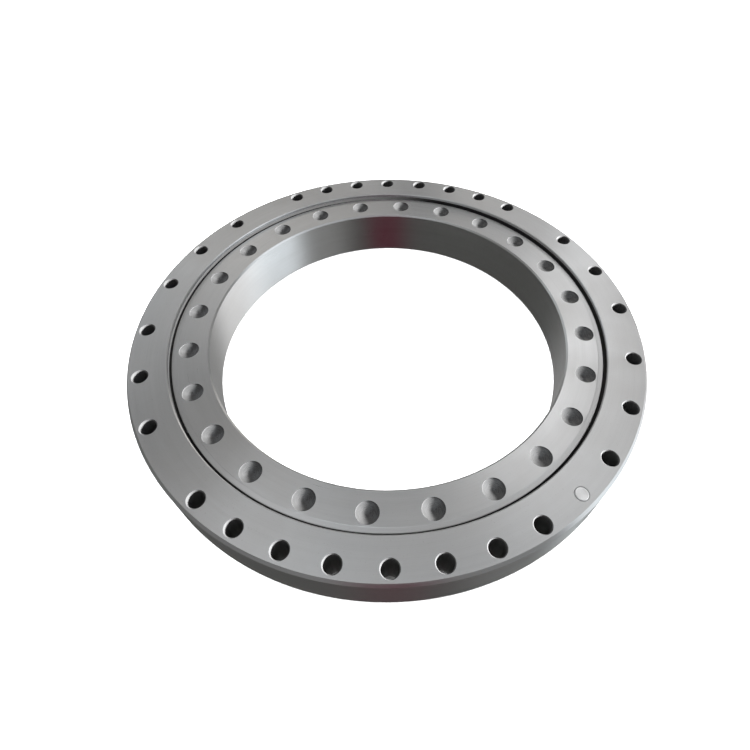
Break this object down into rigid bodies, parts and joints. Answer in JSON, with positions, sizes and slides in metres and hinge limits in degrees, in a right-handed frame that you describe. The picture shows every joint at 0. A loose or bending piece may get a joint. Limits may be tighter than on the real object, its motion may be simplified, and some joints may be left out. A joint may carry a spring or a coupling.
{
  "type": "slewing ring bearing",
  "caption": "Large flat slewing ring bearing: bolted outer ring with uneven bolt groups, inner ring turning inside it on a sealed row of balls.",
  "frame": {"origin": "on the bearing's axis, in the plane of the inner ring's lower mounting face, which is the lowest face", "axes": "+Z is the axis of rotation and points up out of the outer ring's top face; X and Y are the two mirror planes of the outer bolt holes: +Y and -Y run through the middle of the groups of eight, +X and -X through the groups of six"},
  "size_m": [0.944, 0.944, 0.11],
  "materials": {
    "ring_steel": "fine turned, satin",
    "bore_steel": "fine turned, satin",
    "ball_steel": "polished",
    "plug_steel": "turned flush with the rim",
    "pin_steel": "ground",
    "nipple_steel": "zinc plated",
    "seal_rubber": "matte black",
    "spacer_plastic": "natural nylon"
  },
  "bodies": {
    "outer_assembly": {"outer_ring": "ring_steel", "upper_seal": "seal_rubber", "lower_seal": "seal_rubber", "loading_plug": "plug_steel", "taper_pin": "pin_steel", "grease_nipple_1": "nipple_steel", "grease_nipple_2": "nipple_steel", "grease_nipple_3": "nipple_steel"},
    "ball_train": {"ball_01": "ball_steel", "ball_02": "ball_steel", "ball_03": "ball_steel", "ball_04": "ball_steel", "ball_05": "ball_steel", "ball_06": "ball_steel", "ball_07": "ball_steel", "ball_08": "ball_steel", "ball_09": "ball_steel", "ball_10": "ball_steel", "ball_11": "ball_steel", "ball_12": "ball_steel", "ball_13": "ball_steel", "ball_14": "ball_steel", "ball_15": "ball_steel", "ball_16": "ball_steel", "ball_17": "ball_steel", "ball_18": "ball_steel", "ball_19": "ball_steel", "ball_20": "ball_steel", "ball_21": "ball_steel", "ball_22": "ball_steel", "ball_23": "ball_steel", "ball_24": "ball_steel", "ball_25": "ball_steel", "ball_26": "ball_steel", "ball_27": "ball_steel", "ball_28": "ball_steel", "ball_29": "ball_steel", "ball_30": "ball_steel", "ball_31": "ball_steel", "ball_32": "ball_steel", "ball_33": "ball_steel", "ball_34": "ball_steel", "ball_35": "ball_steel", "ball_36": "ball_steel", "ball_37": "ball_steel", "ball_38": "ball_steel", "ball_39": "ball_steel", "ball_40": "ball_steel", "ball_41": "ball_steel", "ball_42": "ball_steel", "ball_43": "ball_steel", "ball_44": "ball_steel", "ball_45": "ball_steel", "ball_46": "ball_steel", "ball_47": "ball_steel", "ball_48": "ball_steel", "ball_spacers": "spacer_plastic"},
    "inner_assembly": {"inner_ring": "bore_steel"}
  },
  "joints": [
    {"name": "inner_ring_turn", "type": "hinge", "parent": "outer_assembly", "child": "inner_assembly", "pos_m": [0, 0, 0.0625], "axis": [0, 0, 1], "continuous": true},
    {"name": "ball_train_turn", "type": "hinge", "parent": "outer_assembly", "child": "ball_train", "pos_m": [0, 0, 0.0625], "axis": [0, 0, 1], "continuous": true}
  ],
  "couplings": [
    {"joint": "ball_train_turn", "follows": "inner_ring_turn", "ratio": 0.4802}
  ]
}
